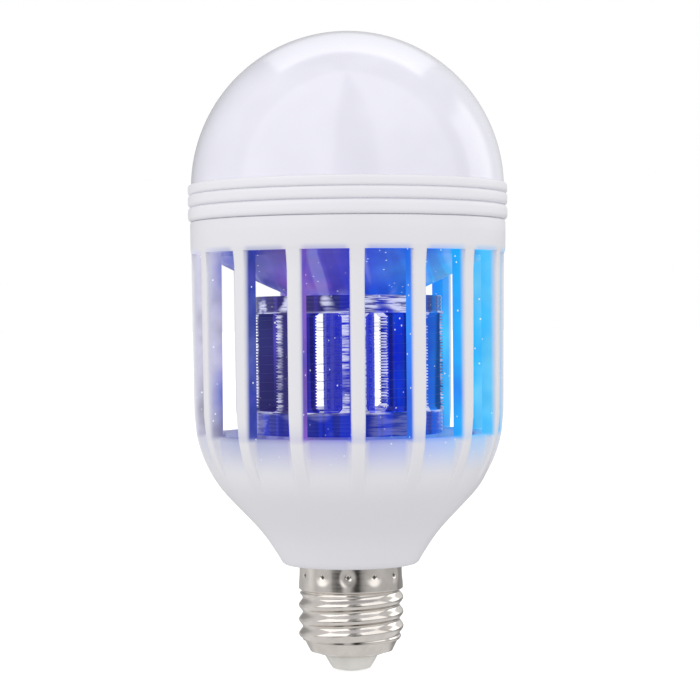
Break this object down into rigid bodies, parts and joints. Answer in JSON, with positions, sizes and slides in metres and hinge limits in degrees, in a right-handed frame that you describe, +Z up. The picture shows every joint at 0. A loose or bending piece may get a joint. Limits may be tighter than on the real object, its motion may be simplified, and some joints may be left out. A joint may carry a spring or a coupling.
{
  "type": "insect killer light bulb",
  "caption": "Screw-cap LED lamp with a milky dome over an open barred cage round a blue-lit high-voltage grid.",
  "frame": {"origin": "middle of the centre contact's lower face, at the end of the screw cap", "axes": "+Z up the lamp's axis from the cap to the dome, -Y towards the front of the picture"},
  "size_m": [0.0806, 0.0806, 0.1612],
  "materials": {
    "white_moulding": "semi-gloss white",
    "milky_dome": "glossy milky white",
    "reflector": "glossy, lit violet to blue",
    "clear_former": "clear, lit blue",
    "tube_clear": "clear, lit blue",
    "nickel": "bright nickel plate",
    "insulator": "off-white",
    "solder": "dull solder",
    "steel": "plain steel",
    "board_metal": "white-coated aluminium",
    "board_green": "green board",
    "chip": "yellow phosphor",
    "uv_chip": "violet",
    "dark_part": "black",
    "brown_part": "brown",
    "red_wire": "red sleeve",
    "black_wire": "black sleeve"
  },
  "bodies": {
    "root": {"diffuser_dome": "milky_dome", "led_housing": "white_moulding", "led_plate": "board_metal", "led_chips": "chip", "led_plate_screws": "steel", "ceiling_cone": "reflector", "cage_shell": "white_moulding", "grid_former": "clear_former", "grid_wire_outer": "steel", "grid_wire_inner": "steel", "uv_tube": "tube_clear", "uv_board": "board_metal", "uv_leds": "uv_chip", "chamber_floor": "reflector", "floor_screws": "steel", "driver_board": "board_green", "step_up_transformer": "dark_part", "smoothing_capacitor": "dark_part", "film_capacitors": "brown_part", "bridge_rectifier": "dark_part", "fuse_resistor": "brown_part", "multiplier_diodes": "dark_part", "live_lead": "red_wire", "neutral_lead": "black_wire", "led_leads": "red_wire", "grid_leads": "red_wire", "screw_shell": "nickel", "cap_insulator": "insulator", "centre_contact": "solder"}
  },
  "joints": []
}
